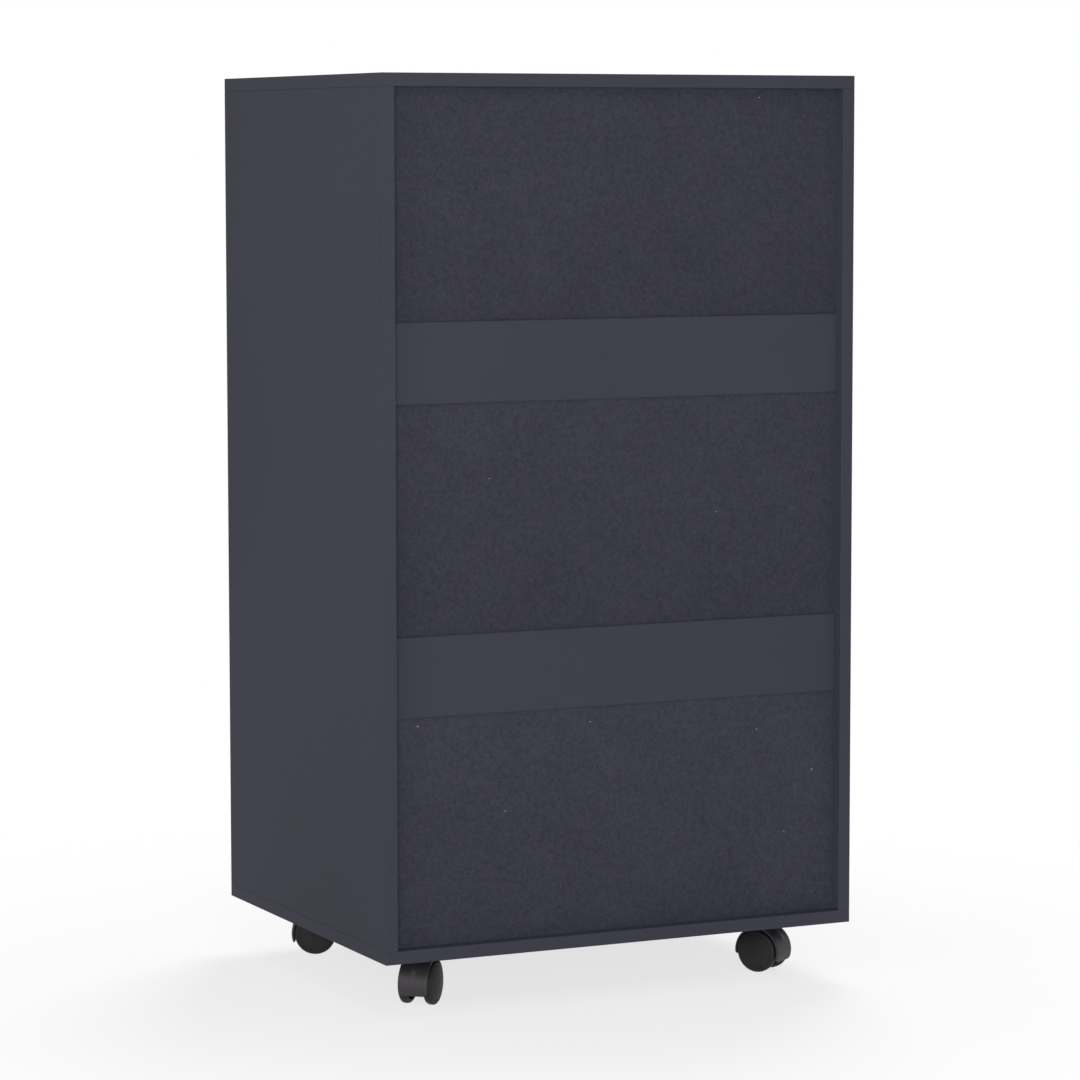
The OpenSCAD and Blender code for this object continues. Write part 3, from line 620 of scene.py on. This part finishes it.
def casterFrame(corner):
    # a matrix with the axle's middle, the trail and the axle as its place and axes, and the trail's length
    joints = {j["name"]: j for j in frame["joints"]}
    wheels = [joints["%s_caster_wheel_%d_roll" % (corner, w)] for w in (1, 2)]
    axle = Vector(wheels[0]["axis"]).normalized()
    centre = (Vector(wheels[0]["pos_m"]) + Vector(wheels[1]["pos_m"])) / 2
    trail = axle.cross(Vector((0, 0, 1)))
    turn = Matrix((trail, axle, Vector((0, 0, 1)))).transposed().to_4x4()
    pin = Vector(joints[corner + "_caster_swivel"]["pos_m"])
    return Matrix.Translation(centre) @ turn, (pin - centre).to_2d().length


def addOutline(bm, points, closed=False):
    verts = [bm.verts.new(p) for p in points]
    edges = [bm.edges.new(pair) for pair in zip(verts, verts[1:])]
    if closed:
        edges.append(bm.edges.new((verts[-1], verts[0])))
    return verts, edges


def spinRoundAxle(bm, outline, start, sweep, steps, closed):
    # outline holds (radius, distance along the axle); it is swept round the axle, from start, in degrees
    tilt = math.radians(start)
    verts, edges = addOutline(bm, [(r * math.cos(tilt), a, r * math.sin(tilt)) for r, a in outline], closed)
    made = bmesh.ops.spin(bm, geom=verts + edges, cent=(0, 0, 0), axis=(0, -1, 0), dvec=(0, 0, 0),
                          angle=math.radians(sweep), steps=steps, use_merge=sweep == 360)["geom_last"]
    return verts, [g for g in made if isinstance(g, bmesh.types.BMVert)]


def smoothStep(value, low, high):
    t = min(max((value - low) / (high - low), 0.0), 1.0)
    return t * t * (3 - 2 * t)


def shapeShell(bm, outer):
    # crowns the hood's shell, raises the ridge along its middle and rounds the corners of its lips
    width, lip = hood["halfWidth"], hood["lipRound"]
    for v in bm.verts:
        angle = math.degrees(math.atan2(v.co.z, v.co.x))
        if angle < -90:
            angle += 360
        radius = math.hypot(v.co.x, v.co.z)
        toLip = math.radians(min(angle + hood["back"], 180 + hood["front"] - angle)) * radius
        out = 0.0
        if radius > outer - 0.5 * hood["edgeRound"]:
            ridge = 1 - smoothStep(abs(v.co.y), 0.3 * hood["ridgeWidth"], hood["ridgeWidth"])
            ends = smoothStep(angle, *hood["ridgeStart"]) * (1 - smoothStep(angle, *hood["ridgeEnd"]))
            out = hood["ridge"] * ridge * ends - hood["crown"] * (v.co.y / width) ** 2
        if toLip < lip:
            inset = math.sqrt(max(lip ** 2 - (lip - max(toLip, 0)) ** 2, 0))
            v.co.y *= (width - lip + inset) / width
        v.co.x += out * math.cos(math.radians(angle))
        v.co.z += out * math.sin(math.radians(angle))


onPlane = 1e-7  # in metres; a point this close to a plane lies on it


def addRib(bm, outer):
    # the rib between the wheels
    upright = Matrix.Translation((0, hood["rib"] / 2, 0)) @ Matrix.Rotation(math.radians(90), 4, "X")
    verts = bmesh.ops.create_circle(bm, cap_ends=True, segments=hood["ribSides"],
                                    radius=outer - hood["wall"] / 2, matrix=upright)["verts"]
    faces = list({f for v in verts for f in v.link_faces})
    edges = list({e for f in faces for e in f.edges})
    bmesh.ops.bisect_plane(bm, geom=verts + faces + edges, dist=onPlane, plane_co=(0, 0, -hood["ribLow"]),
                           plane_no=(0, 0, -1), clear_outer=True)
    faces = [f for f in bm.faces if all(abs(v.co.y - hood["rib"] / 2) < onPlane for v in f.verts)]
    grown = bmesh.ops.extrude_face_region(bm, geom=faces, use_keep_orig=True)["geom"]
    grown = [g for g in grown if isinstance(g, bmesh.types.BMVert)]
    bmesh.ops.translate(bm, verts=grown, vec=(0, -hood["rib"], 0))


def addNeck(bm, outer, trail, top):
    # the socket round the kingpin, flared where it meets the hood
    socket, edge = hood["socket"], hood["socketRound"]
    roof = math.sqrt(outer ** 2 - trail ** 2)
    flared = [(socket + share * hood["neckFlare"], roof + height) for share, height in hood["neck"]]
    outline = [(0.0, 0.0), (socket, 0.0)] + flared
    outline += [(socket, top - edge), (socket - edge, top), (0.0, top)]
    verts, edges = addOutline(bm, [(r - trail, 0, z) for r, z in outline])
    bmesh.ops.spin(bm, geom=verts + edges, cent=(-trail, 0, 0), axis=(0, 0, 1), dvec=(0, 0, 0),
                   angle=math.radians(360), steps=hood["bossSides"], use_merge=True)


def makeHood(corner, material):
    place, trail = casterFrame(corner)
    inner, outer = hood["innerRadius"], hood["innerRadius"] + hood["wall"]
    width, edge = hood["halfWidth"], hood["edgeRound"]
    bm = bmesh.new()
    # where the shell's lines run along it: closest together on the ridge
    half = [share * width for share in (0.8, 0.55)] + [share * hood["ridgeWidth"] for share in (1, 0.75, 0.4)]
    across = [width - edge] + half + [0] + [-a for a in reversed(half)] + [edge - width]
    outline = [(inner, width), (outer - edge, width), (outer - 0.3 * edge, width - 0.3 * edge)]
    outline += [(outer, a) for a in across]
    outline += [(outer - 0.3 * edge, 0.3 * edge - width), (outer - edge, -width), (inner, -width)]
    sweep = 180 + hood["back"] + hood["front"]
    lips = spinRoundAxle(bm, outline, -hood["back"], sweep, hood["steps"], closed=True)
    shapeShell(bm, outer)
    for lip in lips:
        bmesh.ops.contextual_create(bm, geom=lip + edgesAmong(bm, lip))
    addRib(bm, outer)
    # the boss that the axle passes through
    bmesh.ops.create_cone(bm, cap_ends=True, segments=hood["bossSides"], radius1=hood["axleBoss"],
                          radius2=hood["axleBoss"], depth=2 * hood["socket"],
                          matrix=Matrix.Rotation(math.radians(90), 4, "X"))
    addNeck(bm, outer, trail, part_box(corner + "_caster_hood")[1].z - wheel["radius"])
    bmesh.ops.transform(bm, matrix=place, verts=bm.verts)
    makePiece(bm, corner + "_moulded_hood", corner + "_caster", material,
              corner + "_caster_hood")


wheel = dict(
    radius=25.0 * mm, inner=10.0 * mm, shoulder=19.5 * mm, dome=3.5 * mm,
    domeEdge=1.5 * mm,  # the dome would reach the shoulder this far inside the tread
    treadRound=4.2 * mm, cornerRound=2.8 * mm,
    rimWidth=4.6 * mm, rimFlat=2.2 * mm, groove=0.35 * mm, grooveWidth=0.4 * mm, grooveSide=0.3 * mm,
    dimple=(1.2 * mm, 1.8 * mm, 2.1 * mm, 2.5 * mm),  # the mark of the mould's gate
    dimpleLip=0.05 * mm, dimpleDepth=0.3 * mm,
    faceRings=(5 * mm, 9 * mm, 12 * mm, 15 * mm, 18 * mm),
    treadFlat=(3.2 * mm, 1.0 * mm),  # the tread's flat part ends this far from its two corners
    hub=6.5 * mm, bore=3.08 * mm, boreEnd=0.5 * mm, web=2.0 * mm, wall=4.6 * mm,
    fillet=0.6 * mm, edgeRound=0.3 * mm,
    steps=96, outerSteps=7, innerSteps=8,
)


def makeWheel(corner, number, material):
    place, _ = casterFrame(corner)
    side = 1 if number == 1 else -1
    w = wheel
    r, dome = w["radius"], w["dome"]
    domeRadius = ((r - w["domeEdge"]) ** 2 + dome ** 2) / (2 * dome)
    domeCentre = w["shoulder"] + dome - domeRadius

    def face(radius, sunk=0.0):
        return (radius, domeCentre + math.sqrt(domeRadius ** 2 - radius ** 2) - sunk)

    def arc(centre, size, start, end, steps):
        angles = [math.radians(start + (end - start) * i / steps) for i in range(steps + 1)]
        return [(centre[0] + size * math.cos(a), centre[1] + size * math.sin(a)) for a in angles]

    # the outer face, from the middle out: dimple, dome, groove, rim
    grooveAt = r - w["rimWidth"]
    d = w["dimple"]
    outline = [face(0), face(d[0], w["dimpleLip"]), face(d[1], w["dimpleDepth"]),
               face(d[2], w["dimpleDepth"]), face(d[3])]
    outline += [face(radius) for radius in w["faceRings"]]
    outline += [face(grooveAt - w["grooveWidth"] - w["grooveSide"]),
                face(grooveAt - w["grooveWidth"], w["groove"]), face(grooveAt, w["groove"]),
                face(grooveAt + w["grooveSide"]), face(r - w["rimFlat"])]
    # the tread, with two rounded corners: the outer one runs on from the dome
    turnAt = r - w["cornerRound"]
    rise = math.sqrt((domeRadius - w["cornerRound"]) ** 2 - turnAt ** 2)
    start = math.degrees(math.atan2(rise, turnAt))
    fromShoulder, fromInner = w["treadFlat"]
    outline += arc((turnAt, domeCentre + rise), w["cornerRound"], start, 0, w["outerSteps"])
    outline += [(r, w["shoulder"] - fromShoulder), (r, w["inner"] + w["treadRound"] + fromInner)]
    outline += arc((r - w["treadRound"], w["inner"] + w["treadRound"]), w["treadRound"], 0, -90,
                   w["innerSteps"])
    # the hollow inner side, with its hub and blind bore
    web = w["shoulder"] - w["web"]
    rim, hub, fillet, edge = r - w["wall"], w["hub"], w["fillet"], w["edgeRound"]
    outline += [(rim, w["inner"]), (rim - edge, web - fillet), (rim - edge - fillet, web)]
    outline += [(hub + fillet, web), (hub, web - fillet), (hub, w["inner"] + edge), (hub - edge, w["inner"])]
    outline += [(w["bore"], w["inner"]), (w["bore"], web + w["boreEnd"]), (0.0, web + w["boreEnd"])]
    bm = bmesh.new()
    spinRoundAxle(bm, [(radius, side * a) for radius, a in outline], 0, 360, w["steps"], closed=False)
    bmesh.ops.transform(bm, matrix=place, verts=bm.verts)
    node = "%s_caster_wheel_%d" % (corner, number)
    makePiece(bm, "%s_wheel_%d" % (corner, number), node, material, node)


addCamera()
addWorld()
addSoftboxes()
addFloor()
print("studio ready")
dressBoards()
dressMetal()
brushedSteel = brushedSteelMaterial()
for level in levels:
    makeHandle(level, brushedSteel)
print("handles made")
hoodPlastic = casterMaterial("mouldedNylonHood", casterPlastic["hood"])
wheelPlastic = casterMaterial("mouldedNylonWheel", casterPlastic["wheel"])
for corner in corners:
    makeHood(corner, hoodPlastic)
    for number in (1, 2):
        makeWheel(corner, number, wheelPlastic)
print("casters made")

bpy.context.scene.view_settings.view_transform = "Standard"
